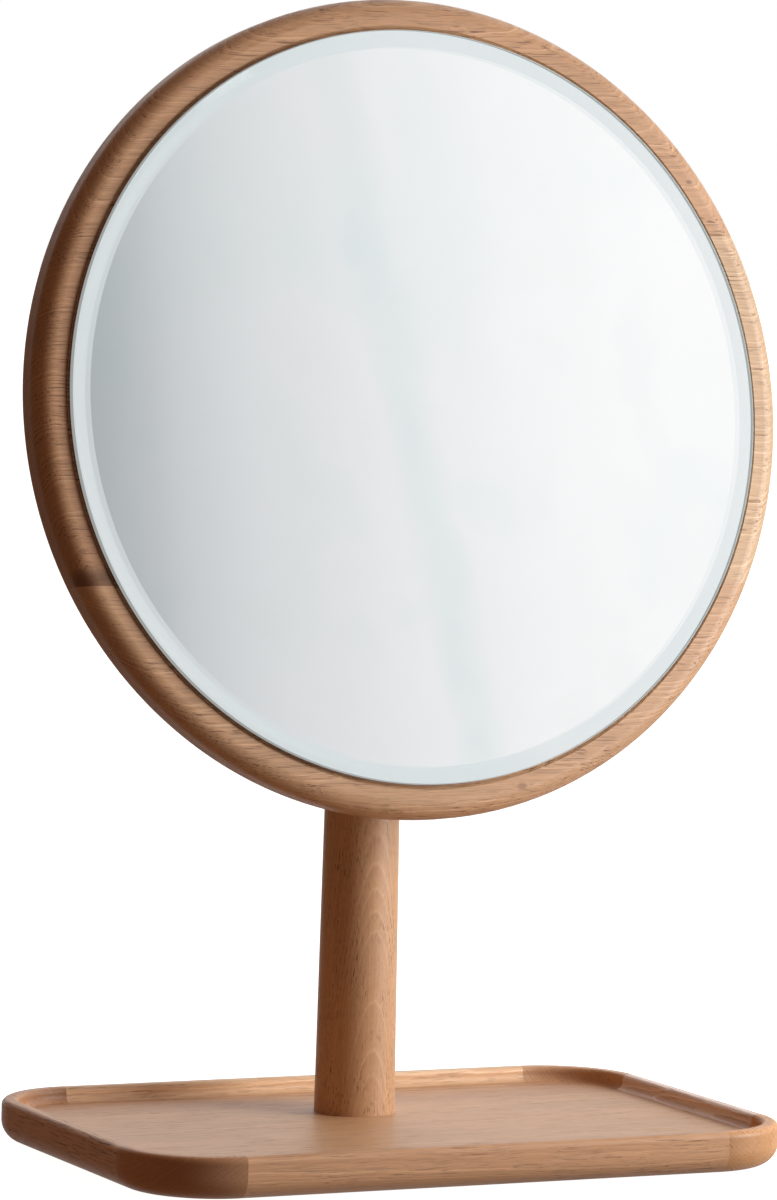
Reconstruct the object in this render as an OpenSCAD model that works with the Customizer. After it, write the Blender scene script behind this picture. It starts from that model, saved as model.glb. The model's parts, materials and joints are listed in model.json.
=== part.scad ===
// Tilting table mirror: a solid oak ring with a bevelled round glass, hinged on a
// turned oak post that stands in a shallow oak tray.
// Millimetres, +Z up. The origin is on the table under the middle of the tray,
// and the mirror looks towards -Y.

/* [Tray] */
// Width of the tray over its rails
tray_w = 434; // [380:1:500]
// Depth of the tray over its rails
tray_d = 284; // [250:1:330]
// Outer radius of the tray's corners in plan
corner_r = 58; // [45:1:75]
// Height of a rail from its underside to the rim
rail_h = 26; // [24:0.5:32]
// Thickness of a rail at the rim
rail_t = 10.5; // [9.5:0.5:14]
// Depth of the tray from the rim down to the panel
panel_drop = 9; // [8:0.5:12]
// Radius of the cove between a rail and the panel
cove_r = 4.5; // [3:0.5:6]
// Round along the bottom outer edge of the rails
rail_foot_round = 13.5; // [6:0.5:14]
// Round along the outer edge of the rim
rim_outer_round = 4; // [2:0.5:5]
// Round along the inner edge of the rim
rim_inner_round = 3; // [1:0.5:4]
// Distance of the panel's glue line behind the middle of the tray
panel_joint_y = 75; // [60:1:95]
// Thickness of the tongue round the panel
panel_tongue_t = 5; // [3:0.5:6]
// Width of the tongue round the panel
panel_tongue_w = 4; // [2:0.5:5]
// Diameter of the dowels between rails and corner blocks
rail_dowel_d = 5; // [4:0.5:5.5]
// Length of the dowels between rails and corner blocks
rail_dowel_len = 24; // [16:1:28]

/* [Felt pads] */
// Diameter of a felt pad
pad_d = 22; // [14:1:30]
// Thickness of a felt pad
pad_t = 1; // [1:0.5:3]
// Distance of a pad's centre from the tray's outer faces
pad_inset = 45; // [36:1:60]

/* [Post] */
// Distance of the post's axis behind the middle of the tray
post_y = 50; // [40:1:60]
// Diameter of the post at its foot
post_foot_d = 50; // [46:1:58]
// Diameter of the post at the tilt axis, and of its round top
post_top_d = 42; // [40:0.5:45]
// Height of the tilt axis above the table
pivot_z = 448; // [400:1:500]
// Distance of the two locating dowels from the post's axis
post_dowel_x = 15; // [14:0.5:18]
// Diameter of the locating dowels
post_dowel_d = 8; // [5:0.5:9]
// Length of the locating dowels
post_dowel_len = 18; // [12:1:22]

/* [Base fixing] */
// Diameter of the bolt that holds the post down
base_bolt_d = 8; // [6:1:8]
// Reach of the bolt above the tray's panel
base_bolt_reach = 18; // [12:1:20]
// Diameter of the bolt's head
base_head_d = 14; // [12:0.5:16]
// Height of the bolt's head
base_head_h = 4; // [3:0.5:5]
// Width of the hexagon socket in the bolt's head
base_socket_w = 5; // [4:0.5:6]
// Diameter of the washer under the bolt's head
base_washer_d = 24; // [20:0.5:26]
// Thickness of the washer under the bolt's head
base_washer_t = 2; // [1.5:0.5:3]
// Outer diameter of the threaded insert in the post
insert_d = 13; // [11:0.5:15]
// Length of the threaded insert in the post
insert_len = 22; // [20:1:26]

/* [Tilt joint] */
// Backward lean of the mirror at rest, in degrees
rest_tilt = 8.2; // [0:0.1:20]
// Thickness of the tongue that turns in the post's slot
tongue_t = 12; // [10:0.5:13]
// Radius of the tongue's round end
tongue_r = 16; // [14:0.5:16.5]
// Height of the tenon that fixes the tongue in the back plate
tenon_h = 26; // [18:0.5:28]
// Diameter of the pivot bolt
pivot_d = 8; // [6:0.5:9]
// Outer diameter of the bush in the tongue
bush_d = 12; // [11:0.5:15]
// Diameter of the pivot bolt's flat heads
pivot_head_d = 17; // [15:0.5:18]
// Thickness of the pivot bolt's flat heads
pivot_head_t = 2.5; // [2:0.1:3]
// Depth of the flats that the heads are seated on
pivot_seat = 3.5; // [3.2:0.1:4.5]
// Outer diameter of the cap nut's sleeve
sleeve_d = 10.5; // [10:0.5:12]
// Width of the hexagon sockets in the heads
pivot_socket_w = 5; // [4:0.5:6]
// Diameter of the friction washers
friction_d = 28; // [22:0.5:30]
// Thickness of the friction washers
friction_t = 1.5; // [1:0.1:2]

/* [Ring] */
// Outer diameter of the ring
ring_d = 499; // [460:1:540]
// Thickness of the ring from back to front
ring_t = 27.5; // [26:0.5:34]
// Width of the ring in all, with the ledge under the glass
ring_w = 36; // [33:0.5:42]
// Width of the wood that shows round the glass
ring_face_w = 18.5; // [17:0.5:23]
// Width of the wood that shows round the back board
ring_back_w = 24; // [21:0.5:26]
// Round along the ring's outer front edge
ring_front_round = 11; // [8:0.5:16]
// Round along the ring's outer back edge
ring_back_round = 6; // [2:0.5:9]
// Chamfer along the ring's inner front edge
ring_inner_chamfer = 0.9; // [0.3:0.1:1]
// Height of the glue lines above and below the ring's centre
ring_joint_z = 108; // [95:1:125]
// Diameter of the dowels across the glue lines
ring_dowel_d = 6; // [4:0.5:7]
// Length of the dowels across the glue lines
ring_dowel_len = 28; // [18:1:30]
// Distance from the tilt axis to the ring's back face
pivot_reach = 39; // [36:0.5:46]

/* [Mirror] */
// Thickness of the glass
glass_t = 5; // [4:0.5:6]
// Width of the bevel round the glass
bevel_w = 11; // [8:0.5:20]
// Depth of the bevel at the rim of the glass
bevel_drop = 1.8; // [1:0.1:2.5]
// Small flat ground on the sharp rim of the glass
arris_w = 0.6; // [0.3:0.1:1]
// Gap between the rim of the glass and the wood
glass_gap = 2; // [0.6:0.1:3]
// Thickness of the silver and paint on the back of the glass
silver_t = 0.2; // [0.1:0.1:0.5]
// Depth of the seat for the glass below the ring's front face
seat_depth = 1.2; // [1:0.1:4.5]
// Thickness of the mounting tape under the glass
tape_t = 1.5; // [0.5:0.1:2]
// Distance of the mounting tape from both edges of its ledge
tape_margin = 2; // [1:0.5:4]

/* [Back] */
// Thickness of the back board
board_t = 9; // [6:0.5:10]
// Screws that hold the back board
board_screws = 8; // [4:4:8]
// Shank diameter of the back board's screws
board_screw_d = 3.5; // [3:0.1:4]
// Length of the back board's screws
board_screw_len = 20; // [14:1:20]
// Diameter of the round plate that carries the tongue
plate_d = 110; // [96:1:130]
// Thickness of the plate that carries the tongue
plate_t = 12; // [10:0.5:13]
// Round along the plate's edge
plate_round = 4; // [1:0.5:6]
// Thickness of the block inside the ring that takes the plate's screws
block_t = 14; // [10:0.5:14]
// Distance of the plate's screws from its middle, across and up
plate_screw_xy = 28; // [24:1:30]
// Shank diameter of the plate's screws
plate_screw_d = 4; // [3.5:0.1:4.5]
// Length of the plate's screws
plate_screw_len = 30; // [26:1:30]

/* [Fits] */
// Gap all round a part that is glued or pressed into another
glue_gap = 0.1; // [0.05:0.01:0.2]
// Spare depth at the bottom of a blind hole or groove
end_gap = 0.5; // [0.3:0.1:1]
// Radial clearance of the bush on the pivot bolt
run_gap = 0.05; // [0.02:0.01:0.09]
// Radial gap where a thread would engage
thread_gap = 0.05; // [0.03:0.01:0.1]
// Radial clearance of a bolt in a plain hole
bolt_gap = 0.4; // [0.2:0.1:0.6]
// Gap between the tongue and each friction washer
side_gap = 0.15; // [0.1:0.05:0.4]
// Gap between the tongue's round end and the floor of the slot
slot_floor_gap = 1.5; // [1:0.1:2]

/* [Hidden] */
$fn = 96;
// Overlap of a cutter past the face it cuts
over = 1;

// Tray
panel_t = rail_h - panel_drop;
foot_w = rail_t + cove_r;
corner_x = tray_w / 2 - corner_r;
corner_y = tray_d / 2 - corner_r;
groove_t = panel_tongue_t + 2 * glue_gap;
groove_w = panel_tongue_w + end_gap;
panel_top = pad_t + panel_t;
rail_dowel_inset = rail_t / 2;
rail_dowel_z = pad_t + rail_h / 2;

// Post and tilt joint
post_foot_r = post_foot_d / 2;
post_top_r = post_top_d / 2;
slot_w = tongue_t + 2 * (side_gap + friction_t);
slot_floor = pivot_z - tongue_r - slot_floor_gap;
cheek_x = slot_w / 2;
seat_x = post_top_r - pivot_seat;
base_recess = base_washer_t + base_head_h;
bolt_top = panel_top + base_bolt_reach;

// Ring and mirror, measured in the head's own frame
ring_r = ring_d / 2;
ring_back = pivot_reach;
ring_front = ring_back + ring_t;
seat_r = ring_r - ring_face_w;
board_seat_r = ring_r - ring_back_w;
ledge_r = ring_r - ring_w;
seat_z = ring_front - seat_depth;
silver_z = seat_z + tape_t;
glass_z = silver_z + silver_t;
glass_r = seat_r - glass_gap;
rim_t = glass_t - bevel_drop;
board_front = ring_back + board_t;
plate_rear = ring_back - plate_t;
board_screw_r = (ledge_r + board_seat_r) / 2;
ring_dowel_x = sqrt(pow((ledge_r + ring_r) / 2, 2) - pow(ring_joint_z, 2));
ring_dowel_depth = (board_front + seat_z) / 2;

// Colours
oak = [0.76, 0.58, 0.44];
oak_dark = [0.66, 0.48, 0.35];
oak_end = [0.62, 0.44, 0.31];
beech = [0.85, 0.72, 0.55];
plywood = [0.80, 0.69, 0.53];
steel = [0.72, 0.73, 0.75];
brass = [0.80, 0.66, 0.34];
felt = [0.32, 0.30, 0.28];
fibre = [0.25, 0.20, 0.17];
glass_tint = [0.80, 0.90, 0.88, 0.5];
silver = [0.90, 0.91, 0.92];
tape_grey = [0.45, 0.46, 0.47];

// Shared shapes

// Cutter that rounds the convex corner at the origin of the first quadrant
module corner_cut(r) {
    difference() {
        translate([-over, -over]) square(r + over);
        translate([r, r]) circle(r = r);
    }
}

// Rod along X, from x0 to x1
module rod_x(r, x0, x1) {
    translate([x0, 0, 0]) rotate([0, 90, 0]) cylinder(r = r, h = x1 - x0);
}

// Hexagon prism along Z from 0 to h, w across its flats
module hex_socket(w, h) {
    cylinder(d = w / cos(30), h = h, $fn = 6);
}

// Countersunk wood screw with its head at z = 0, pointing up
module wood_screw(d, len) {
    head_h = d * 0.55;
    tip_h = d;
    difference() {
        union() {
            cylinder(r1 = d, r2 = d / 2, h = head_h);
            cylinder(r = d / 2, h = len - tip_h);
            translate([0, 0, len - tip_h]) cylinder(r1 = d / 2, r2 = d / 8, h = tip_h);
        }
        for (turn = [0, 90]) {
            rotate(turn) translate([-d * 0.55, -d * 0.11, -over]) cube([d * 1.1, d * 0.22, over + head_h * 0.6]);
        }
    }
}

// Hole for that screw: a countersink and a plain hole from z = 0
module screw_hole(d, len) {
    grow = thread_gap;
    head_h = d * 0.55;
    translate([0, 0, -over]) cylinder(r = d + grow, h = over);
    cylinder(r1 = d + grow, r2 = d / 2 + grow, h = head_h);
    cylinder(r = d / 2 + grow, h = len + end_gap);
}

// Children placed in the mirror head's frame: X right, Y up the ring, Z to its front,
// with the tilt axis along X through the origin
module head() {
    translate([0, post_y, pivot_z]) rotate([90 - rest_tilt, 0, 0]) children();
}

// Children placed at the tilt axis, upright with the post
module at_pivot() {
    translate([0, post_y, pivot_z]) children();
}

// Tray

// Section of a rail: x inward from its outer face, y up from its underside
module rail_section() {
    difference() {
        square([foot_w, rail_h]);
        translate([foot_w, panel_t + cove_r]) circle(r = cove_r);
        translate([rail_t, panel_t + cove_r]) square([cove_r + over, rail_h]);
        corner_cut(rail_foot_round);
        translate([0, rail_h]) mirror([0, 1]) corner_cut(rim_outer_round);
        translate([rail_t, rail_h]) rotate(180) corner_cut(rim_inner_round);
        translate([foot_w - groove_w, (panel_t - groove_t) / 2]) square([groove_w + over, groove_t]);
    }
}

// Straight rail whose outer face lies half_span in front of the origin, then turned
module rail(len, half_span, turn) {
    color(oak) difference() {
        rotate(turn) translate([-len / 2, -half_span, pad_t]) rotate([90, 0, 90])
            linear_extrude(len) rail_section();
        rail_dowel_places() rail_dowel_bore();
    }
}

// Quarter-round corner block in the quadrant of the signs sx, sy
module corner_block(sx, sy, turn) {
    color(oak_end) difference() {
        translate([sx * corner_x, sy * corner_y, pad_t]) rotate(turn)
            rotate_extrude(angle = 90) translate([corner_r, 0]) mirror([1, 0]) rail_section();
        rail_dowel_places() rail_dowel_bore();
    }
}

// Children at the eight joints of rails and corner blocks, their Z along the rail
module rail_dowel_places() {
    long_y = tray_d / 2 - rail_dowel_inset;
    short_x = tray_w / 2 - rail_dowel_inset;
    for (sx = [-1, 1], sy = [-1, 1]) {
        translate([sx * corner_x, sy * long_y, rail_dowel_z]) rotate([0, 90, 0]) children();
        translate([sx * short_x, sy * corner_y, rail_dowel_z]) rotate([90, 0, 0]) children();
    }
}

module rail_dowel_bore() {
    cylinder(d = rail_dowel_d + 2 * glue_gap, h = rail_dowel_len + 2 * end_gap, center = true);
}

module rail_dowels() {
    color(beech) rail_dowel_places() cylinder(d = rail_dowel_d, h = rail_dowel_len, center = true);
}

// Outline of the panel inside the rails, grown by the given amount
module panel_plan(grow) {
    w = tray_w - 2 * (foot_w + glue_gap - grow);
    d = tray_d - 2 * (foot_w + glue_gap - grow);
    square([w, 2 * corner_y], center = true);
    square([2 * corner_x, d], center = true);
    for (sx = [-1, 1], sy = [-1, 1]) {
        translate([sx * corner_x, sy * corner_y]) circle(r = corner_r - foot_w - glue_gap + grow);
    }
}

// Whole panel with its tongue and the holes of the post's fixing
module tray_panel() {
    difference() {
        translate([0, 0, pad_t]) union() {
            linear_extrude(panel_t) panel_plan(0);
            translate([0, 0, (panel_t - panel_tongue_t) / 2])
                linear_extrude(panel_tongue_t) panel_plan(panel_tongue_w);
        }
        translate([0, post_y, pad_t - over]) {
            cylinder(r = base_bolt_d / 2 + bolt_gap, h = panel_t + 2 * over);
            cylinder(r = base_washer_d / 2 + bolt_gap, h = base_recess + over);
        }
        post_dowel_places() post_dowel_bore();
    }
}

module tray_front_board() {
    color(oak) intersection() {
        tray_panel();
        translate([-tray_w, panel_joint_y - 2 * tray_d, 0]) cube([2 * tray_w, 2 * tray_d, 2 * rail_h]);
    }
}

module tray_rear_board() {
    color(oak_dark) intersection() {
        tray_panel();
        translate([-tray_w, panel_joint_y, 0]) cube([2 * tray_w, 2 * tray_d, 2 * rail_h]);
    }
}

module front_rail() rail(2 * corner_x, tray_d / 2, 0);
module rear_rail() rail(2 * corner_x, tray_d / 2, 180);
module left_rail() rail(2 * corner_y, tray_w / 2, -90);
module right_rail() rail(2 * corner_y, tray_w / 2, 90);

module corner_front_left() corner_block(-1, -1, 180);
module corner_front_right() corner_block(1, -1, 270);
module corner_rear_left() corner_block(-1, 1, 90);
module corner_rear_right() corner_block(1, 1, 0);

module felt_pads() {
    color(felt) for (sx = [-1, 1], sy = [-1, 1]) {
        translate([sx * (tray_w / 2 - pad_inset), sy * (tray_d / 2 - pad_inset), 0]) cylinder(d = pad_d, h = pad_t);
    }
}

// Post and its fixing

// Children at the two locating dowels, centred on the panel's surface
module post_dowel_places() {
    for (sx = [-1, 1]) translate([sx * post_dowel_x, post_y, panel_top]) children();
}

module post_dowel_bore() {
    cylinder(d = post_dowel_d + 2 * glue_gap, h = post_dowel_len + 2 * end_gap, center = true);
}

module post_dowels() {
    color(beech) post_dowel_places() cylinder(d = post_dowel_d, h = post_dowel_len, center = true);
}

// Half outline of the turned post: a long taper under a round top
module post_profile() {
    polygon([[0, panel_top], [post_foot_r, panel_top], [post_top_r, pivot_z], [0, pivot_z]]);
    intersection() {
        translate([0, pivot_z]) circle(r = post_top_r);
        translate([0, pivot_z]) square(2 * post_top_r);
    }
}

module post() {
    color(oak) difference() {
        translate([0, post_y, 0]) rotate_extrude() post_profile();
        translate([-slot_w / 2, post_y - post_foot_d, slot_floor])
            cube([slot_w, 2 * post_foot_d, 2 * post_top_d]);
        at_pivot() {
            rod_x(pivot_d / 2 + glue_gap, -post_foot_d, 0);
            rod_x(sleeve_d / 2 + glue_gap, 0, post_foot_d);
            rod_x(pivot_head_d / 2 + bolt_gap, seat_x, post_foot_d);
            rod_x(pivot_head_d / 2 + bolt_gap, -post_foot_d, -seat_x);
        }
        translate([0, post_y, panel_top - over]) cylinder(r = insert_d / 2 + glue_gap, h = insert_len + end_gap + over);
        post_dowel_places() post_dowel_bore();
    }
}

module post_insert() {
    color(brass) translate([0, post_y, panel_top]) difference() {
        cylinder(d = insert_d, h = insert_len);
        translate([0, 0, -over]) cylinder(r = base_bolt_d / 2 + thread_gap, h = insert_len + 2 * over);
    }
}

module base_bolt() {
    color(steel) translate([0, post_y, pad_t]) difference() {
        union() {
            cylinder(d = base_head_d, h = base_head_h);
            cylinder(d = base_bolt_d, h = bolt_top - pad_t);
        }
        translate([0, 0, -over]) hex_socket(base_socket_w, over + base_head_h * 0.7);
    }
}

module base_washer() {
    color(steel) translate([0, post_y, pad_t + base_head_h]) difference() {
        cylinder(d = base_washer_d, h = base_washer_t);
        translate([0, 0, -over]) cylinder(r = base_bolt_d / 2 + bolt_gap, h = base_washer_t + 2 * over);
    }
}

// Tilt joint on the post

// Flat head with its seat at x = 0, standing out along +X, with a hexagon socket
module flat_head() {
    difference() {
        rod_x(pivot_head_d / 2, 0, pivot_head_t);
        translate([pivot_head_t * 0.3, 0, 0]) rotate([0, 90, 0]) hex_socket(pivot_socket_w, pivot_head_t);
    }
}

module pivot_bolt() {
    color(steel) at_pivot() {
        translate([-seat_x, 0, 0]) mirror([1, 0, 0]) flat_head();
        rod_x(pivot_d / 2, -seat_x, seat_x - end_gap);
    }
}

module pivot_cap_nut() {
    color(steel) at_pivot() {
        translate([seat_x, 0, 0]) flat_head();
        difference() {
            rod_x(sleeve_d / 2, cheek_x, seat_x);
            rod_x(pivot_d / 2 + thread_gap, cheek_x - over, seat_x);
        }
    }
}

module friction_washers() {
    color(fibre) at_pivot() for (side = [0, 1]) mirror([side, 0, 0]) difference() {
        rod_x(friction_d / 2, cheek_x - friction_t, cheek_x);
        rod_x(pivot_d / 2 + glue_gap, cheek_x - friction_t - over, cheek_x + over);
    }
}

// Ring

// Section of the ring: x is the radius, y the distance in front of the tilt axis
module ring_section() {
    difference() {
        translate([ledge_r, ring_back]) square([ring_w, ring_t]);
        translate([ledge_r - over, seat_z]) square([seat_r - ledge_r + over, seat_depth + over]);
        translate([ledge_r - over, ring_back - over]) square([board_seat_r - ledge_r + over, board_t + over]);
        translate([ring_r, ring_front]) rotate(180) corner_cut(ring_front_round);
        translate([ring_r, ring_back]) mirror([1, 0]) corner_cut(ring_back_round);
        polygon([
            [seat_r - over, ring_front + over],
            [seat_r - over, ring_front - ring_inner_chamfer - over],
            [seat_r + ring_inner_chamfer + over, ring_front + over]
        ]);
    }
}

// Part of the ring inside a box from low to high, drilled for its screws and dowels
module ring_part(low, high) {
    head() difference() {
        intersection() {
            rotate_extrude() ring_section();
            translate([low[0], low[1], ring_back - over]) cube([high[0] - low[0], high[1] - low[1], ring_t + 2 * over]);
        }
        board_screw_places() screw_hole(board_screw_d, board_screw_len);
        frame_dowel_places() frame_dowel_bore();
    }
}

module frame_top_board() {
    color(oak) ring_part([-ring_d, ring_joint_z], [ring_d, ring_d]);
}

module frame_left_board() {
    color(oak_dark) ring_part([-ring_d, -ring_joint_z], [0, ring_joint_z]);
}

module frame_right_board() {
    color(oak_dark) ring_part([0, -ring_joint_z], [ring_d, ring_joint_z]);
}

module frame_bottom_board() {
    color(oak) ring_part([-ring_d, -ring_d], [ring_d, -ring_joint_z]);
}

// Children at the four glue lines of the ring, their Z up the ring
module frame_dowel_places() {
    for (sx = [-1, 1], sy = [-1, 1]) {
        translate([sx * ring_dowel_x, sy * ring_joint_z, ring_dowel_depth]) rotate([-90, 0, 0]) children();
    }
}

module frame_dowel_bore() {
    cylinder(d = ring_dowel_d + 2 * glue_gap, h = ring_dowel_len + 2 * end_gap, center = true);
}

module frame_dowels() {
    color(beech) head() frame_dowel_places() cylinder(d = ring_dowel_d, h = ring_dowel_len, center = true);
}

// Mirror

module mirror_glass() {
    color(glass_tint) head() translate([0, 0, glass_z]) rotate_extrude() polygon([
        [0, 0],
        [glass_r, 0],
        [glass_r, rim_t - arris_w],
        [glass_r - arris_w, rim_t],
        [glass_r - bevel_w, glass_t],
        [0, glass_t]
    ]);
}

module mirror_silvering() {
    color(silver) head() translate([0, 0, silver_z]) cylinder(r = glass_r, h = silver_t);
}

module mounting_tape() {
    color(tape_grey) head() translate([0, 0, seat_z]) difference() {
        cylinder(r = glass_r - tape_margin, h = tape_t);
        translate([0, 0, -over]) cylinder(r = ledge_r + tape_margin, h = tape_t + 2 * over);
    }
}

// Back

// Children at the back board's screws, pointing to the front
module board_screw_places() {
    for (i = [0 : board_screws - 1]) {
        rotate((i + 0.5) * 360 / board_screws) translate([board_screw_r, 0, ring_back]) children();
    }
}

// Children at the plate's screws, pointing to the front
module plate_screw_places() {
    for (sx = [-1, 1], sy = [-1, 1]) {
        translate([sx * plate_screw_xy, sy * plate_screw_xy, plate_rear]) children();
    }
}

module back_board() {
    color(plywood) head() difference() {
        translate([0, 0, ring_back]) cylinder(r = board_seat_r - glue_gap, h = board_t);
        board_screw_places() screw_hole(board_screw_d, board_screw_len);
        plate_screw_places() screw_hole(plate_screw_d, plate_screw_len);
    }
}

module back_board_screws() {
    color(steel) head() board_screw_places() wood_screw(board_screw_d, board_screw_len);
}

module inner_block() {
    color(plywood) head() difference() {
        translate([0, 0, board_front]) cylinder(d = plate_d, h = block_t);
        plate_screw_places() screw_hole(plate_screw_d, plate_screw_len);
    }
}

module pivot_plate() {
    color(oak) head() difference() {
        rotate_extrude() difference() {
            translate([0, plate_rear]) square([plate_d / 2, plate_t]);
            translate([plate_d / 2, plate_rear]) mirror([1, 0]) corner_cut(plate_round);
        }
        translate([-tongue_t / 2 - glue_gap, -tenon_h / 2 - glue_gap, plate_rear - over])
            cube([tongue_t + 2 * glue_gap, tenon_h + 2 * glue_gap, plate_t + 2 * over]);
        plate_screw_places() screw_hole(plate_screw_d, plate_screw_len);
    }
}

module plate_screws() {
    color(steel) head() plate_screw_places() wood_screw(plate_screw_d, plate_screw_len);
}

// Side outline of the tongue: x up the ring, y towards its front
module tongue_outline() {
    circle(r = tongue_r);
    translate([-tongue_r, 0]) square([2 * tongue_r, plate_rear]);
    translate([-tenon_h / 2, 0]) square([tenon_h, ring_back]);
}

module pivot_tongue() {
    color(oak) head() difference() {
        translate([-tongue_t / 2, 0, 0]) rotate([90, 0, 90]) linear_extrude(tongue_t) tongue_outline();
        rod_x(bush_d / 2 + glue_gap, -tongue_t, tongue_t);
    }
}

module pivot_bush() {
    color(brass) head() difference() {
        rod_x(bush_d / 2, -tongue_t / 2, tongue_t / 2);
        rod_x(pivot_d / 2 + run_gap, -tongue_t, tongue_t);
    }
}

tray_front_board();
tray_rear_board();
front_rail();
rear_rail();
left_rail();
right_rail();
corner_front_left();
corner_front_right();
corner_rear_left();
corner_rear_right();
rail_dowels();
felt_pads();
post();
post_dowels();
post_insert();
base_bolt();
base_washer();
pivot_bolt();
pivot_cap_nut();
friction_washers();
frame_top_board();
frame_left_board();
frame_right_board();
frame_bottom_board();
frame_dowels();
mirror_glass();
mirror_silvering();
mounting_tape();
back_board();
back_board_screws();
inner_block();
pivot_plate();
plate_screws();
pivot_tongue();
pivot_bush();
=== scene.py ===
"""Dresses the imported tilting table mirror: lacquered oak, bevelled glass, felt and metal, on a pale studio floor.

Metres, +Z up, the mirror looks towards -Y. The CAD nodes stay where they are. Each oak piece gets its own
solid-wood material, so grain, growth rings and end grain follow how that piece is cut from its board.
"""

import json
import math

import bpy
import numpy as np
from bpy.props import FloatProperty, FloatVectorProperty, PointerProperty
from mathutils import Matrix, Vector


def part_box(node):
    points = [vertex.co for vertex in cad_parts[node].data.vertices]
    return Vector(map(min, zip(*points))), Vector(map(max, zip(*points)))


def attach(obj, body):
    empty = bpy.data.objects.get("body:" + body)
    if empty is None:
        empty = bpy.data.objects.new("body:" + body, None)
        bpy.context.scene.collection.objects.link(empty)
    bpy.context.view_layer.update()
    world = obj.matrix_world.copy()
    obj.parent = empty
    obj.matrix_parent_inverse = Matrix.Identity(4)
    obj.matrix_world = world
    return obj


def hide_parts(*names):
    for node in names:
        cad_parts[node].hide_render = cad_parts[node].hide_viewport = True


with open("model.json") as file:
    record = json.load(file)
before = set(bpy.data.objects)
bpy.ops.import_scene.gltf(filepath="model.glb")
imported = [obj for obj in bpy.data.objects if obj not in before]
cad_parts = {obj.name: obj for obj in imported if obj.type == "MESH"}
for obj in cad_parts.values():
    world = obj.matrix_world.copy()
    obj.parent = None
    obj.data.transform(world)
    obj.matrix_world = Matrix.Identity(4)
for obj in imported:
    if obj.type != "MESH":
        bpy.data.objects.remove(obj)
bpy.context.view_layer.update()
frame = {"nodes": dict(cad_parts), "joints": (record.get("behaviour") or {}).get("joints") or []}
NODES = frame["nodes"]

bl_info = {
    "name": "Oak Table Mirror",
    "version": (1, 0, 0),
    "blender": (4, 5, 0),
    "location": "View3D > Sidebar > Table Mirror",
    "description": "Oak, glass, felt and metal finishes for a tilting table mirror, with its studio",
    "category": "Object",
}

MM = 0.001

# The mirror head: its tilt axis, its lean at rest, and the glass in front of that axis
PIVOT = np.array(frame["joints"][0]["pos_m"])
REST_TILT = math.radians(8.2)
GLASS_LOW, GLASS_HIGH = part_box("mirror_glass")
GLASS_RADIUS = (GLASS_HIGH.x - GLASS_LOW.x) / 2
GLASS_BACK = 67.0 * MM
SILVER_THICKNESS = 0.2 * MM
SILVER_GAP = 0.03 * MM

# The felt pads under the tray
PAD_LOW, PAD_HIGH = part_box("felt_pads")
PAD_RADIUS = 11 * MM
PAD_ROUND = 0.8 * MM

# The camera's place, its right and up directions and its focal length in mm
CAMERA_PLACE = (-1.55026, -3.17732, 0.57734)
CAMERA_RIGHT = (0.90029384, -0.43447552, 0.02649582)
CAMERA_UP = (0.00546974, 0.07215764, 0.99737824)
CAMERA_LENS = 174.766

# The studio: the soft key light, the way to the bright wall, the floor, and the card that the glass mirrors
KEY_PLACE = (1.335, -0.935, 0.60)
KEY_TARGET = (0.0, 0.0, 0.40)
KEY_SIZE = (0.85, 1.1)
WALL_TURN = math.radians(114)
FLOOR_HALF = 40.0
CARD_LEFT, CARD_RIGHT = -0.40, 1.60
CARD_FOOT, CARD_HEAD = -0.8, 2.2
CARD_Y = -0.80
# Brightness of the card at places from its left to its right
CARD_STOPS = (
    (-0.10, 0.42), (0.127, 0.50), (0.171, 0.59), (0.196, 0.67), (0.233, 0.745), (0.270, 0.80), (0.320, 0.85),
    (0.383, 0.92), (0.432, 0.955), (0.482, 1.00), (0.560, 1.04), (0.632, 1.06), (1.60, 1.06),
)


# Shader expressions


class Link:
    """A node's output that takes part in Python arithmetic: each operator adds one Math node."""

    def __init__(self, bench, socket):
        self.bench = bench
        self.socket = socket

    def math(self, operation, *others):
        return self.bench.add("ShaderNodeMath", {"operation": operation}, [self, *others])

    def __add__(self, other):
        return self.math("ADD", other)

    __radd__ = __add__

    def __mul__(self, other):
        return self.math("MULTIPLY", other)

    __rmul__ = __mul__

    def __sub__(self, other):
        return self.math("SUBTRACT", other)

    def __rsub__(self, other):
        return self.bench.add("ShaderNodeMath", {"operation": "SUBTRACT"}, [other, self])

    def __truediv__(self, other):
        return self.math("DIVIDE", other)

    def __rtruediv__(self, other):
        return self.bench.add("ShaderNodeMath", {"operation": "DIVIDE"}, [other, self])

    def __abs__(self):
        return self.math("ABSOLUTE")

    def step(self, low, high):
        """0 below low, 1 above high, and a smooth rise between them."""
        settings = {"interpolation_type": "SMOOTHSTEP"}
        return self.bench.add("ShaderNodeMapRange", settings, {"Value": self, "From Min": low, "From Max": high})


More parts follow.
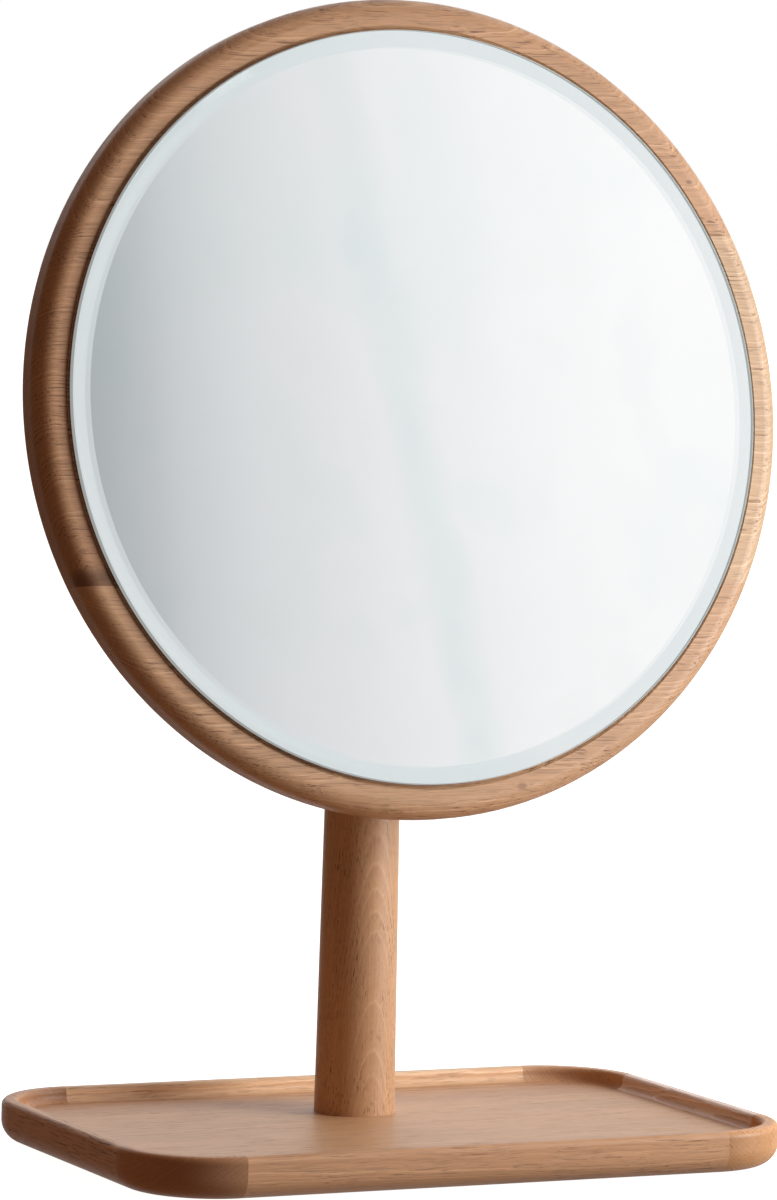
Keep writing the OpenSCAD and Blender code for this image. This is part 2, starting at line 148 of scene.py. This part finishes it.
class Bench:
    """Builds the nodes of one material or world."""

    def __init__(self, owner):
        owner.use_nodes = True
        self.owner = owner
        self.tree = owner.node_tree
        self.tree.nodes.clear()

    def add(self, kind, settings=None, inputs=None, output=0):
        """Adds a node: its settings first, then its sockets, by index or by name. Returns one output."""
        node = self.tree.nodes.new(kind)
        for key, value in (settings or {}).items():
            if key == "stops":
                self.set_stops(node.color_ramp, value)
            else:
                setattr(node, key, value)
        pairs = enumerate(inputs) if isinstance(inputs, (list, tuple)) else (inputs or {}).items()
        for key, value in pairs:
            self.feed(node.inputs[key], value)
        return Link(self, node.outputs[output]) if len(node.outputs) else node

    def feed(self, socket, value):
        """Links a socket to a node's output, or sets it to a number or colour."""
        if isinstance(value, Link):
            self.tree.links.new(value.socket, socket)
        elif socket.type == "RGBA" and len(value) == 3:
            socket.default_value = (*value, 1.0)
        else:
            socket.default_value = value

    @staticmethod
    def set_stops(ramp, stops):
        """Gives a colour ramp its (position, colour) stops."""
        while len(ramp.elements) > 1:
            ramp.elements.remove(ramp.elements[-1])
        ramp.elements[0].position, ramp.elements[0].color = stops[0][0], (*stops[0][1], 1.0)
        for position, colour in stops[1:]:
            ramp.elements.new(position).color = (*colour, 1.0)

    def split(self, vector):
        """The three parts of a vector."""
        node = self.add("ShaderNodeSeparateXYZ", inputs=[vector]).socket.node
        return [Link(self, socket) for socket in node.outputs]

    def join(self, x, y, z):
        return self.add("ShaderNodeCombineXYZ", inputs=[x, y, z])

    def noise(self, vector, scale=1.0, detail=0.0, roughness=0.5):
        inputs = {"Vector": vector, "Scale": scale, "Detail": detail, "Roughness": roughness}
        return self.add("ShaderNodeTexNoise", inputs=inputs)

    def mix(self, factor, first, second, blend="MIX"):
        """Mixes two colours."""
        settings = {"data_type": "RGBA", "blend_type": blend, "clamp_factor": True}
        return self.add("ShaderNodeMix", settings, {0: factor, 6: first, 7: second}, output=2)

    def scaled(self, colour, factor):
        """A colour times a number."""
        return self.add("ShaderNodeVectorMath", {"operation": "SCALE"}, {"Vector": colour, "Scale": factor})

    def place(self, output="Object"):
        return self.add("ShaderNodeTexCoord", output=output)

    def bump(self, height, distance, strength):
        return self.add("ShaderNodeBump", inputs={"Height": height, "Distance": distance, "Strength": strength})

    def surface(self, **sockets):
        """Ends the material with a Principled BSDF."""
        inputs = {key.replace("_", " "): value for key, value in sockets.items()}
        shader = self.add("ShaderNodeBsdfPrincipled", inputs=inputs)
        self.add("ShaderNodeOutputMaterial", inputs={"Surface": shader})
        return self.owner


def new_bench(name):
    return Bench(bpy.data.materials.new(name))


def dress(node, material):
    """Puts a material in all the slots of a CAD node."""
    slots = NODES[node].data.materials
    slots.clear()
    slots.append(material)


# Settings


class OakFinish(bpy.types.PropertyGroup):
    """Colours and surface of the oak."""

    latewood: FloatVectorProperty(
        name="Latewood", description="Colour of the plain wood between the pore lines", subtype="COLOR",
        default=(0.575, 0.335, 0.190), min=0, max=1)
    earlywood: FloatVectorProperty(
        name="Earlywood", description="Colour at the start of each year's growth", subtype="COLOR",
        default=(0.455, 0.238, 0.120), min=0, max=1)
    pore: FloatVectorProperty(
        name="Pores", description="Colour of the open pores", subtype="COLOR",
        default=(0.150, 0.064, 0.028), min=0, max=1)
    ray: FloatVectorProperty(
        name="Ring ends", description="Colour of the thin pale line that ends a year's growth", subtype="COLOR",
        default=(0.700, 0.450, 0.275), min=0, max=1)
    gloss: FloatProperty(
        name="Roughness", description="Roughness of the satin lacquer", default=0.40, min=0.05, max=1)
    end_shade: FloatProperty(
        name="End grain", description="How much darker the end grain is", default=0.30, min=0, max=1)


class MirrorGlass(bpy.types.PropertyGroup):
    """Sizes and tint of the bevelled glass, and the painted glow on its ground edge."""

    thickness: FloatProperty(
        name="Thickness", description="Thickness of the glass", unit="LENGTH", default=5 * MM, min=3 * MM, max=8 * MM)
    bevel: FloatProperty(
        name="Bevel", description="Width of the bevel", unit="LENGTH", default=11 * MM, min=5 * MM, max=25 * MM)
    drop: FloatProperty(
        name="Drop", description="Depth of the bevel at the rim", unit="LENGTH", default=1.8 * MM, min=MM, max=3 * MM)
    arris: FloatProperty(
        name="Arris", description="Flat on the sharp rim", unit="LENGTH", default=0.6 * MM, min=0.2 * MM, max=MM)
    tint: FloatVectorProperty(
        name="Tint", description="Colour of the glass", subtype="COLOR", default=(0.994, 0.997, 0.995), min=0, max=1)
    bevel_tint: FloatVectorProperty(
        name="Bevel tint", description="Colour of the polished bevel", subtype="COLOR",
        default=(0.905, 0.935, 0.94), min=0, max=1)
    # Painted light: strength of the glow painted on the ground edge, standing in for light that the glass carries there
    painted_edge_glow: FloatProperty(
        name="Edge light", description="Light that the glass carries to its ground edge", default=0.34, min=0, max=2)


def light_colour(name, description, colour):
    return FloatVectorProperty(name=name, description=description, subtype="COLOR", default=colour, min=0, soft_max=2)


class Studio(bpy.types.PropertyGroup):
    """Colour and strength of the studio's light."""

    key: FloatProperty(
        name="Key", description="Power of the soft key light", unit="POWER", default=28.5, min=0, max=1000)
    key_colour: light_colour("Key colour", "Colour of the soft key light", (1.0, 1.0, 1.0))
    wall: light_colour("Wall", "Light from the bright wall on the object's right", (0.80, 0.80, 0.80))
    dark: light_colour("Dark side", "Light from the dark side on the object's left", (0.165, 0.09, 0.055))
    card: FloatProperty(name="Card", description="Brightness of the card that the glass mirrors", default=1.0, min=0)
    floor: FloatProperty(name="Floor", description="Brightness that the floor adds of its own", default=0.97, min=0)


# Shapes


def head_to_part(points):
    """Turns points from the mirror head's frame (x right, y up the ring, z to its front) into the part's frame."""
    tilt = Matrix.Rotation(math.pi / 2 - REST_TILT, 3, "X")
    return points @ np.array(tilt).T + PIVOT


def lathe(profile, turns):
    """Turns a profile of (radius, height) pairs about the z axis.

    The points are (r cos a, r sin a, h) over a grid of profile and angle. The profile starts and ends on the axis,
    so both ends close in a point. Returns the points, and the faces as an array of quads and one of triangles.
    """
    profile = np.asarray(profile, float)
    angle = np.linspace(0, 2 * np.pi, turns, endpoint=False)
    radius, height = profile[1:-1, 0], profile[1:-1, 1]
    grid = np.stack([
        np.outer(radius, np.cos(angle)),
        np.outer(radius, np.sin(angle)),
        np.repeat(height[:, None], turns, axis=1),
    ], axis=-1).reshape(-1, 3)
    points = np.vstack([grid, [0, 0, profile[0, 1]], [0, 0, profile[-1, 1]]])
    ring = np.arange(turns)
    after = np.roll(ring, -1)
    rows = (np.arange(len(radius) - 1) * turns)[:, None]
    quads = np.stack([rows + ring, rows + after, rows + turns + after, rows + turns + ring], axis=-1).reshape(-1, 4)
    first, last = len(grid), len(grid) + 1
    top = (len(radius) - 1) * turns
    fans = np.vstack([
        np.column_stack([np.full(turns, first), after, ring]),
        np.column_stack([np.full(turns, last), top + ring, top + after]),
    ])
    return points, [quads, fans]


def add_piece(name, points, faces, body, stands_for, sharp_deg):
    """Makes a mesh object from points and arrays of faces, with edges sharper than the angle kept crisp."""
    mesh = bpy.data.meshes.new(name)
    mesh.from_pydata(points.tolist(), [], [face for block in faces for face in block.tolist()])
    mesh.validate()
    mesh.polygons.foreach_set("use_smooth", np.ones(len(mesh.polygons), bool))
    mesh.set_sharp_from_angle(angle=math.radians(sharp_deg))
    piece = bpy.data.objects.new(name, mesh)
    bpy.context.scene.collection.objects.link(piece)
    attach(piece, body)
    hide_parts(*stands_for)
    return piece


# Oak


def oak(name, axes, pith, lean=(0.0, 0.0), spacing=2.4, tone=1.0, tint=(1.0, 1.0, 1.0), seed=0.0, dash=18.0, fine=1.3,
        wander=1.0, rings=1.0, pores=1.0, knots=()):
    """Solid oak as a function of place.

    axes orders the part's axes as (along the grain, across, across). pith is where the tree's middle lies in the
    two cross axes, in mm, and lean is how far it moves per mm along the grain. The growth rings are cylinders about
    that line, spacing mm apart, bent by slow noise that wander scales, and of uneven width. Pores are noise stretched
    along the grain to dashes of about dash mm, with about fine of them per mm across. They follow the same bend, lie
    in patches, and most of them start a ring. A thin pale line ends some of the rings. rings and pores scale the
    contrast of both, and tone and tint the colour. knots are (x, y, z, radius, darkness) with the first four in mm,
    and the rings bend round them.
    """
    look = bpy.context.scene.mirror_oak
    b = new_bench(name)
    parts = [part * 1000.0 for part in b.split(b.place())]
    normal = b.split(b.place("Normal"))
    order = ["xyz".index(axis) for axis in axes]
    u, v, w = (parts[i] for i in order)

    def streaks(cross, along, across, shift, **settings):
        """Noise with so many waves per mm along and across the grain."""
        return b.noise(b.join(u * along + shift, cross[0] * across, cross[1] * across), **settings)

    slow = streaks((v, w), 0.006, 0.03, seed, detail=1.0)
    wave = streaks((v, w), 0.030, 0.10, seed * 1.3, detail=2.0)
    cloud = streaks((v, w), 0.007, 0.022, seed * 2.0, detail=1.0) - 0.5
    bend = slow * (3.6 * spacing * wander) + wave * (1.2 * spacing * wander)
    bent = (v + bend, w + bend)
    rows = streaks(bent, 1.0 / dash, fine, seed * 3.1, detail=1.0, roughness=0.6)
    hair = streaks(bent, 1.4 / dash, 1.7 * fine, seed * 4.7, detail=1.0)
    fibre = streaks(bent, 0.022, 0.9, seed * 5.0, detail=2.0) - 0.5

    across = v - (u * lean[0] + pith[0])
    depth = w - (u * lean[1] + pith[1])
    radius = (across * across + depth * depth).math("SQRT") + bend
    spots = []
    for *centre, size, dark in knots:
        spot = [(parts[i] - centre[i]) / (size * stretch) for i, stretch in zip(order, (1.7, 1.0, 1.0))]
        away = spot[0] * spot[0] + spot[1] * spot[1] + spot[2] * spot[2]
        spots.append((1 - away.step(0.1, 1.3)) * dark)
        radius = radius + (away * -0.25).math("EXPONENT") * (size * 0.9)
    growth = radius / spacing + b.noise(b.join(radius * 0.12 + seed, 0.0, 0.0)) * (4.0 / spacing)
    season = growth.math("FRACT")
    strength = b.add("ShaderNodeTexWhiteNoise", {"noise_dimensions": "1D"}, {"W": growth.math("FLOOR") + seed * 7.3})
    early = season.step(0.0, 0.10) * (1 - season.step(0.20, 0.62)) * (strength * 0.8 + 0.2)
    late = season.step(0.76, 0.87) * (1 - season.step(0.93, 1.0)) * strength.step(0.3, 0.8)
    open_pores = rows.step(0.54, 0.61) * (early * 0.65 + 0.35) * (wave.step(0.40, 0.60) + 0.3)
    hairs = hair.step(0.53, 0.66)
    end = abs(normal[order[0]])
    end = end * end

    wood, start, line = (
        tuple(part * by for part, by in zip(colour, tint)) for colour in (look.latewood, look.earlywood, look.ray))
    pore = tuple(look.pore)
    colour = b.mix(early * (0.45 * rings), wood, start)
    colour = b.mix(late * (0.85 * rings), colour, line)
    colour = b.mix((open_pores * (0.78 * pores) + hairs * (0.22 * pores)).math("MINIMUM", 0.85), colour, pore)
    for spot in spots:
        colour = b.mix(spot, colour, pore)
    shade = (fibre * 0.30 + cloud * 0.26 + strength * (0.08 * rings) + 1.04) * (1 - end * look.end_shade) * tone
    return b.surface(
        Base_Color=b.scaled(colour, shade),
        Roughness=open_pores * 0.22 + fibre * 0.10 + look.gloss,
        IOR=1.48,
        Normal=b.bump(fibre * 0.25 - open_pores, 0.08 * MM, 0.5),
    )


def dress_oak(node, *cut, **look):
    """Gives a CAD node an oak of its own, named for the piece."""
    dress(node, oak("oak_" + node.removesuffix("_board"), *cut, **look))


class DressRing(bpy.types.Operator):
    """Gives the four boards of the ring their oak, with the grain level across the ring"""

    bl_idname = "table_mirror.dress_ring"
    bl_label = "Oak Ring"

    def execute(self, context):
        spots = np.array([(191.6, 141.4, 66.0), (-216.0, -105.0, 62.0), (59.9, -230.9, 66.0)])
        pin, burl, knot = (head_to_part(spots * MM) / MM).tolist()
        dress_oak(
            "frame_top_board", "xyz", (150, 470), (0.0, 0.035), seed=1.0,
            tone=0.97, tint=(1.0, 0.97, 0.91), dash=30.0, fine=1.5, knots=[(*pin, 1.6, 0.55)])
        # Partly painted shade: the darker, redder tone stands in for the deeper shade on the ring's left side, beside
        # the board's own dark burl
        dress_oak(
            "frame_left_board", "xyz", (-150, 290), (0.0, 0.02), seed=2.0,
            tone=0.90, tint=(1.0, 0.94, 0.86), dash=20.0, knots=[(*burl, 10.0, 0.8)])
        # Partly painted sheen: the paler, bluer tint stands in for the key light's sheen on the ring's right side; the
        # rest is the board's own tone
        dress_oak(
            "frame_right_board", "xyz", (130, 300), (0.0, -0.03), seed=3.0,
            tone=1.05, tint=(1.0, 1.13, 1.16), dash=26.0, fine=1.5, pores=0.85)
        dress_oak(
            "frame_bottom_board", "xyz", (110, 120), (0.0, 0.03), seed=4.0,
            tone=1.02, tint=(1.0, 1.01, 0.98), dash=30.0, fine=1.5, knots=[(*knot, 2.3, 0.5)])
        return {"FINISHED"}


class DressPost(bpy.types.Operator):
    """Gives the post its upright oak, with the pith behind it so that narrow arches show in front"""

    bl_idname = "table_mirror.dress_post"
    bl_label = "Oak Post"

    def execute(self, context):
        dress_oak(
            "post", "zyx", (200, 0), (-0.075, 0.0), spacing=1.3, seed=5.0,
            tone=0.95, tint=(1.0, 0.98, 0.90), dash=4.5, fine=1.4, wander=0.18, rings=0.6, pores=0.8)
        return {"FINISHED"}


class DressTray(bpy.types.Operator):
    """Gives rails, corner blocks and panel boards of the tray their oak"""

    bl_idname = "table_mirror.dress_tray"
    bl_label = "Oak Tray"

    def execute(self, context):
        # Partly painted shadow: the rear panel board is darker and pinker than the front one, standing in for the
        # shadow that the post and ring cast on the back of the panel
        dress_oak(
            "tray_front_board", "xyz", (-30, -80), (0.03, 0.02), spacing=3.2, seed=6.0,
            tone=1.03, tint=(1.0, 0.98, 0.90), rings=0.7, pores=0.6)
        dress_oak(
            "tray_rear_board", "xyz", (150, -70), (0.0, 0.02), spacing=3.2, seed=7.0,
            tone=0.96, tint=(1.0, 0.92, 0.84), rings=0.7, pores=0.6)
        dress_oak(
            "front_rail", "xyz", (-60, -70), (0.02, 0.0), seed=8.0,
            tone=0.97, tint=(1.0, 0.94, 0.86), dash=20.0, fine=1.6, pores=0.8)
        # Partly painted light: the lighter, paler tone stands in for bounce light from the panel on the rail's inner
        # face
        dress_oak(
            "rear_rail", "xyz", (80, 120), (-0.02, 0.0), seed=9.0,
            tone=1.28, tint=(1.0, 1.10, 1.14), dash=16.0, pores=0.75)
        dress_oak("left_rail", "yxz", (-150, -80), (0.02, 0.0), seed=10.0, tone=0.97, tint=(1.0, 0.92, 0.76))
        # Painted light: the raised tone and much bluer tint stand in for bounce light on the rail's shaded inner face
        dress_oak(
            "right_rail", "yxz", (120, 90), (0.03, 0.0), seed=11.0,
            tone=1.45, tint=(1.0, 1.32, 2.0), dash=30.0, pores=0.5)
        dress_oak(
            "corner_front_left", "yxz", (-120, -60), seed=12.0,
            tone=0.84, tint=(1.0, 0.82, 0.64), dash=4.0, rings=0.5, pores=0.35)
        dress_oak(
            "corner_front_right", "yxz", (60, -120), seed=13.0,
            tone=1.15, tint=(1.0, 0.84, 0.59), dash=1.6, fine=0.7, rings=0.4, pores=0.7)
        dress_oak(
            "corner_rear_left", "yxz", (-320, -60), seed=14.0,
            tone=0.95, tint=(1.0, 0.88, 0.78), rings=0.5, pores=0.5)
        dress_oak(
            "corner_rear_right", "yxz", (320, 120), seed=15.0,
            tone=1.12, tint=(1.0, 0.95, 0.92), rings=0.5, pores=0.5)
        return {"FINISHED"}


# Glass


class MakeGlass(bpy.types.Operator):
    """Makes the bevelled glass and the silver behind it as turned surfaces"""

    bl_idname = "table_mirror.make_glass"
    bl_label = "Bevelled Glass"

    turns = 360

    def execute(self, context):
        size = context.scene.mirror_glass
        self.glass(size)
        self.silver()
        return {"FINISHED"}

    def glass(self, size):
        """A turned disc: back, ground edge, arris, bevel and face. Edge and arris are ground, the rest is clear. The
        ground edge and arris glow with painted light.
        """
        rim, face = GLASS_BACK + size.thickness - size.drop, GLASS_BACK + size.thickness
        points, faces = lathe([
            (0, GLASS_BACK), (GLASS_RADIUS, GLASS_BACK), (GLASS_RADIUS, rim - size.arris),
            (GLASS_RADIUS - size.arris, rim), (GLASS_RADIUS - size.bevel, face), (0, face),
        ], self.turns)
        glass = add_piece(
            "bevelled_glass", head_to_part(points), faces, "mirror_head", ["mirror_glass"], 4)
        glass.data.materials.append(new_bench("float_glass").surface(
            Base_Color=tuple(size.tint), Roughness=0.0, IOR=1.52, Transmission_Weight=1.0))
        # The ground edge's emission is painted light: a glow standing in for light carried through the glass
        b = new_bench("ground_edge_painted_glow")
        grind = b.noise(b.place(), scale=900.0, detail=2.0)
        glass.data.materials.append(b.surface(
            Base_Color=b.mix(grind, (0.18, 0.21, 0.20), (0.25, 0.28, 0.27)), Roughness=grind * 0.2 + 0.35, IOR=1.52,
            Emission_Color=b.mix(grind, (0.80, 0.92, 0.92), (0.94, 1.0, 1.0)), Emission_Strength=size.painted_edge_glow))
        glass.data.materials.append(new_bench("bevel_glass").surface(
            Base_Color=tuple(size.bevel_tint), Roughness=0.0, IOR=1.52, Transmission_Weight=1.0))
        zones = np.zeros(len(glass.data.polygons), np.int32)
        zones[:3 * self.turns] = np.repeat([1, 1, 2], self.turns)
        glass.data.polygons.foreach_set("material_index", zones)

    def silver(self):
        """A thin turned disc just behind the glass."""
        low, high = GLASS_BACK - SILVER_THICKNESS, GLASS_BACK - SILVER_GAP
        points, faces = lathe([(0, low), (GLASS_RADIUS, low), (GLASS_RADIUS, high), (0, high)], self.turns)
        coat = add_piece(
            "silver_coat", head_to_part(points), faces, "mirror_head", ["mirror_silvering"], 30)
        b = new_bench("silver_coat")
        mottle = b.noise(b.place(), scale=6.0, detail=3.0)
        coat.data.materials.append(b.surface(
            Base_Color=b.mix(mottle, (0.910, 0.915, 0.92), (0.935, 0.935, 0.94)), Metallic=1.0, Roughness=0.0))


# Back, metal and felt


def pale_wood(name, seed):
    """Sanded birch or beech: broad waves and fine fibres along the grain, which runs up the piece."""
    b = new_bench(name)
    x, y, z = b.split(b.place())
    wave = b.noise(b.join(x * 16.0 + seed, y * 16.0, z * 3.0), detail=2.0)
    bands = (x * 90.0 + wave * 7.0).math("SINE") * 0.5 + 0.5
    fibre = b.noise(b.join(x * 900.0, y * 900.0, z * 30.0), detail=1.0)
    colour = b.mix(bands * 0.5, (0.58, 0.42, 0.25), (0.50, 0.335, 0.18))
    return b.surface(
        Base_Color=b.scaled(colour, fibre * 0.25 + wave * 0.2 + 0.78), Roughness=fibre * 0.15 + 0.55,
        Normal=b.bump(fibre, 0.05 * MM, 0.4))


def turned_metal(name, colour, roughness):
    """Plated metal with fine turning marks and small stains."""
    b = new_bench(name)
    place = b.place()
    marks = b.noise(place, scale=4000.0, detail=1.0)
    stain = b.noise(place, scale=140.0, detail=2.0)
    dark = tuple(0.72 * part for part in colour)
    return b.surface(
        Base_Color=b.mix(stain.step(0.35, 0.75), colour, dark), Metallic=1.0,
        Roughness=marks * 0.14 + stain * 0.12 + roughness - 0.1, Normal=b.bump(marks, 0.01 * MM, 0.3))


def speckled(name, colour, spread, scale, roughness, depth):
    """A matt sheet material: two tones of one colour in fine speckles that also roughen the surface."""
    b = new_bench(name)
    grain = b.noise(b.place(), scale=scale, detail=3.0)
    dark = tuple(part * (1 - spread) for part in colour)
    return b.surface(
        Base_Color=b.mix(grain.step(0.3, 0.7), dark, colour), Roughness=grain * 0.2 + roughness,
        Normal=b.bump(grain, depth, 0.6))


class DressBack(bpy.types.Operator):
    """Gives the back board, plate, tongue, dowels and tape their wood and foam"""

    bl_idname = "table_mirror.dress_back"
    bl_label = "Back and Pivot Plate"

    def execute(self, context):
        dress("back_board", pale_wood("birch_back_board", 0.0))
        dress("inner_block", pale_wood("birch_inner_block", 4.0))
        dress_oak("pivot_plate", "zxy", (-70, 140), (0.03, 0.0), seed=16.0)
        dress_oak("pivot_tongue", "yxz", (40, 380), (0.0, 0.02), seed=17.0, tone=0.97)
        for node in ("rail_dowels", "post_dowels", "frame_dowels"):
            dress(node, pale_wood("beech_" + node, 9.0))
        dress("mounting_tape", speckled("foam_tape", (0.15, 0.155, 0.16), 0.3, 900.0, 0.75, 0.05 * MM))
        return {"FINISHED"}


class DressMetal(bpy.types.Operator):
    """Gives screws, bolts, insert, bush and washers their metal and fibre"""

    bl_idname = "table_mirror.dress_metal"
    bl_label = "Fasteners"

    def execute(self, context):
        zinc = turned_metal("zinc_steel", (0.56, 0.57, 0.58), 0.34)
        for node in ("base_bolt", "base_washer", "pivot_bolt", "pivot_cap_nut", "back_board_screws", "plate_screws"):
            dress(node, zinc)
        brass = turned_metal("turned_brass", (0.62, 0.46, 0.20), 0.30)
        for node in ("post_insert", "pivot_bush"):
            dress(node, brass)
        dress("friction_washers", speckled("red_fibre", (0.075, 0.042, 0.030), 0.35, 1500.0, 0.6, 0.03 * MM))
        return {"FINISHED"}


class MakeFelt(bpy.types.Operator):
    """Makes the felt pads as soft-edged discs under the tray"""

    bl_idname = "table_mirror.make_felt"
    bl_label = "Felt Pads"

    def execute(self, context):
        half = (PAD_HIGH.z - PAD_LOW.z) / 2
        turn = np.linspace(-math.pi / 2, math.pi / 2, 9)
        side = np.column_stack([PAD_RADIUS - PAD_ROUND + PAD_ROUND * np.cos(turn), half + half * np.sin(turn)])
        disc, faces = lathe([(0, 0), *side.tolist(), (0, 2 * half)], 96)
        across = (PAD_LOW.x + PAD_RADIUS, PAD_HIGH.x - PAD_RADIUS)
        along = (PAD_LOW.y + PAD_RADIUS, PAD_HIGH.y - PAD_RADIUS)
        centres = np.array([(x, y, 0) for x in across for y in along])
        points = (centres[:, None] + disc).reshape(-1, 3)
        shift = (np.arange(len(centres)) * len(disc))[:, None, None]
        faces = [(shift + block).reshape(-1, block.shape[1]) for block in faces]
        pads = add_piece("felt_discs", points, faces, "stand", ["felt_pads"], 60)
        pads.data.materials.append(speckled("grey_felt", (0.115, 0.100, 0.085), 0.5, 1400.0, 0.85, 0.15 * MM))
        return {"FINISHED"}


# Stage


def add_camera():
    data = bpy.data.cameras.new("camera")
    data.sensor_fit = "AUTO"
    data.sensor_width = 36.0
    data.lens = CAMERA_LENS
    data.clip_end = 100.0
    camera = bpy.data.objects.new("camera", data)
    right, up = np.array(CAMERA_RIGHT), np.array(CAMERA_UP)
    turn = np.eye(4)
    turn[:3, 0], turn[:3, 1], turn[:3, 2], turn[:3, 3] = right, up, np.cross(right, up), CAMERA_PLACE
    camera.matrix_world = Matrix(turn.tolist())
    bpy.context.scene.collection.objects.link(camera)
    bpy.context.scene.camera = camera


def add_sheet(name, corners):
    """A flat rectangle of the stage."""
    mesh = bpy.data.meshes.new(name)
    mesh.from_pydata(corners, [], [(0, 1, 2, 3)])
    sheet = bpy.data.objects.new(name, mesh)
    bpy.context.scene.collection.objects.link(sheet)
    return sheet


def add_key(studio):
    """The soft key light. The camera and the rays that pass through the glass don't see it."""
    data = bpy.data.lights.new("key", "AREA")
    data.shape = "RECTANGLE"
    data.size, data.size_y = KEY_SIZE
    data.energy = studio.key
    data.color = tuple(studio.key_colour)
    key = bpy.data.objects.new("key", data)
    back = Vector(KEY_PLACE) - Vector(KEY_TARGET)
    key.matrix_world = Matrix.LocRotScale(Vector(KEY_PLACE), back.to_track_quat("Z", "Y"), None)
    bpy.context.scene.collection.objects.link(key)
    key.visible_camera = False
    key.visible_transmission = False


class SetStage(bpy.types.Operator):
    """Sets the pale floor, the soft light, the card in front of the glass and the camera"""

    bl_idname = "table_mirror.set_stage"
    bl_label = "Studio"

    def execute(self, context):
        studio = context.scene.mirror_studio
        add_camera()
        self.floor(studio)
        self.card(studio)
        self.world(studio)
        add_key(studio)
        return {"FINISHED"}

    def floor(self, studio):
        """A wide pale floor that adds no light or shadow to the object."""
        half = FLOOR_HALF
        floor = add_sheet("floor", [(-half, -half, 0), (half, -half, 0), (half, half, 0), (-half, half, 0)])
        b = new_bench("pale_floor")
        grain = b.noise(b.place(), scale=30.0, detail=2.0)
        floor.data.materials.append(b.surface(
            Base_Color=b.mix(grain, (0.60, 0.60, 0.60), (0.62, 0.62, 0.62)), Roughness=0.9,
            Emission_Color=(1.0, 1.0, 1.0), Emission_Strength=studio.floor))
        floor.visible_diffuse = False
        floor.visible_glossy = False
        floor.visible_shadow = False

    def card(self, studio):
        """The card gets brighter from left to right. A slanting band and soft clouds on it are darker and greenish."""
        card = add_sheet("card", [
            (CARD_LEFT, CARD_Y, CARD_FOOT), (CARD_LEFT, CARD_Y, CARD_HEAD),
            (CARD_RIGHT, CARD_Y, CARD_HEAD), (CARD_RIGHT, CARD_Y, CARD_FOOT),
        ])
        b = new_bench("lit_card")
        x, _, z = b.split(b.place())
        width = CARD_RIGHT - CARD_LEFT
        stops = [
            ((at - CARD_LEFT) / width, (k * (0.91 + 0.09 * k), k, k * (1.04 - 0.035 * k))) for at, k in CARD_STOPS]
        ramp = b.add("ShaderNodeValToRGB", {"stops": stops}, [(x - (z - 0.7) * 0.02 - CARD_LEFT) / width])
        cloud = b.noise(b.join(x * 5.0, 0.0, z * 3.2), detail=2.0) - 0.5
        fine = b.noise(b.join(x * 16.0, 4.0, z * 11.0), detail=2.0) - 0.5
        band = 1 - (abs(x - (0.468 - z * 0.13) + fine * 0.05) / 0.03).step(0.2, 1.0)
        level = z.step(0.40, 0.95) * 0.03 - z.step(0.97, 1.17) * 0.12 + cloud * 0.05 + fine * 0.04 + 0.98
        haze = (band * 0.75 + cloud.step(-0.02, 0.16) * 0.5 + fine.step(0.0, 0.2) * 0.4) * (1 - z.step(0.55, 1.0) * 0.5)
        tone = b.mix(haze, b.scaled(ramp, level), (0.90, 0.945, 0.94), blend="MULTIPLY")
        light = b.add("ShaderNodeEmission", inputs={"Color": tone, "Strength": studio.card})
        b.add("ShaderNodeOutputMaterial", inputs={"Surface": light})
        card.data.materials.append(b.owner)
        card.visible_camera = False
        card.visible_diffuse = False
        card.visible_shadow = False

    def world(self, studio):
        """A bright wall fills the room's right half and fades to a dark left half. The camera sees plain white."""
        world = bpy.data.worlds.new("studio")
        bpy.context.scene.world = world
        b = Bench(world)
        place = b.place("Generated")
        towards = (math.sin(WALL_TURN), -math.cos(WALL_TURN), 0.0)
        near = b.add("ShaderNodeVectorMath", {"operation": "DOT_PRODUCT"}, [place, towards], output=1)
        height = b.split(place)[2]
        wall = b.scaled(tuple(studio.wall), height.step(-0.5, 0.8) + 0.62)
        level = b.mix(near.step(0.02, 0.54), tuple(studio.dark), wall)
        seen = b.add("ShaderNodeLightPath", output="Is Camera Ray")
        room = b.add("ShaderNodeBackground", inputs={"Color": level, "Strength": 1.0})
        plain = b.add("ShaderNodeBackground", inputs={"Color": (1.0, 1.0, 1.0), "Strength": 1.0})
        both = b.add("ShaderNodeMixShader", inputs=[seen, room, plain])
        b.add("ShaderNodeOutputWorld", inputs={"Surface": both})


class TableMirrorPanel(bpy.types.Panel):
    """Lists the finishes of the table mirror"""

    bl_idname = "VIEW3D_PT_table_mirror"
    bl_label = "Table Mirror"
    bl_space_type = "VIEW_3D"
    bl_region_type = "UI"
    bl_category = "Table Mirror"

    def draw(self, context):
        for step in STEPS:
            self.layout.operator(step.bl_idname)
        for group in ("mirror_oak", "mirror_glass", "mirror_studio"):
            settings = getattr(context.scene, group)
            box = self.layout.box()
            for name in settings.__annotations__:
                box.prop(settings, name)


STEPS = (SetStage, DressRing, DressPost, DressTray, MakeGlass, DressBack, DressMetal, MakeFelt)
CLASSES = (OakFinish, MirrorGlass, Studio, *STEPS, TableMirrorPanel)


def register():
    for cls in CLASSES:
        bpy.utils.register_class(cls)
    bpy.types.Scene.mirror_oak = PointerProperty(type=OakFinish)
    bpy.types.Scene.mirror_glass = PointerProperty(type=MirrorGlass)
    bpy.types.Scene.mirror_studio = PointerProperty(type=Studio)


def unregister():
    del bpy.types.Scene.mirror_studio
    del bpy.types.Scene.mirror_glass
    del bpy.types.Scene.mirror_oak
    for cls in reversed(CLASSES):
        bpy.utils.unregister_class(cls)


def main():
    register()
    bpy.context.scene.view_settings.view_transform = "Standard"
    for step in STEPS:
        group, name = step.bl_idname.split(".")
        getattr(getattr(bpy.ops, group), name)()


if __name__ == "__main__":
    main()
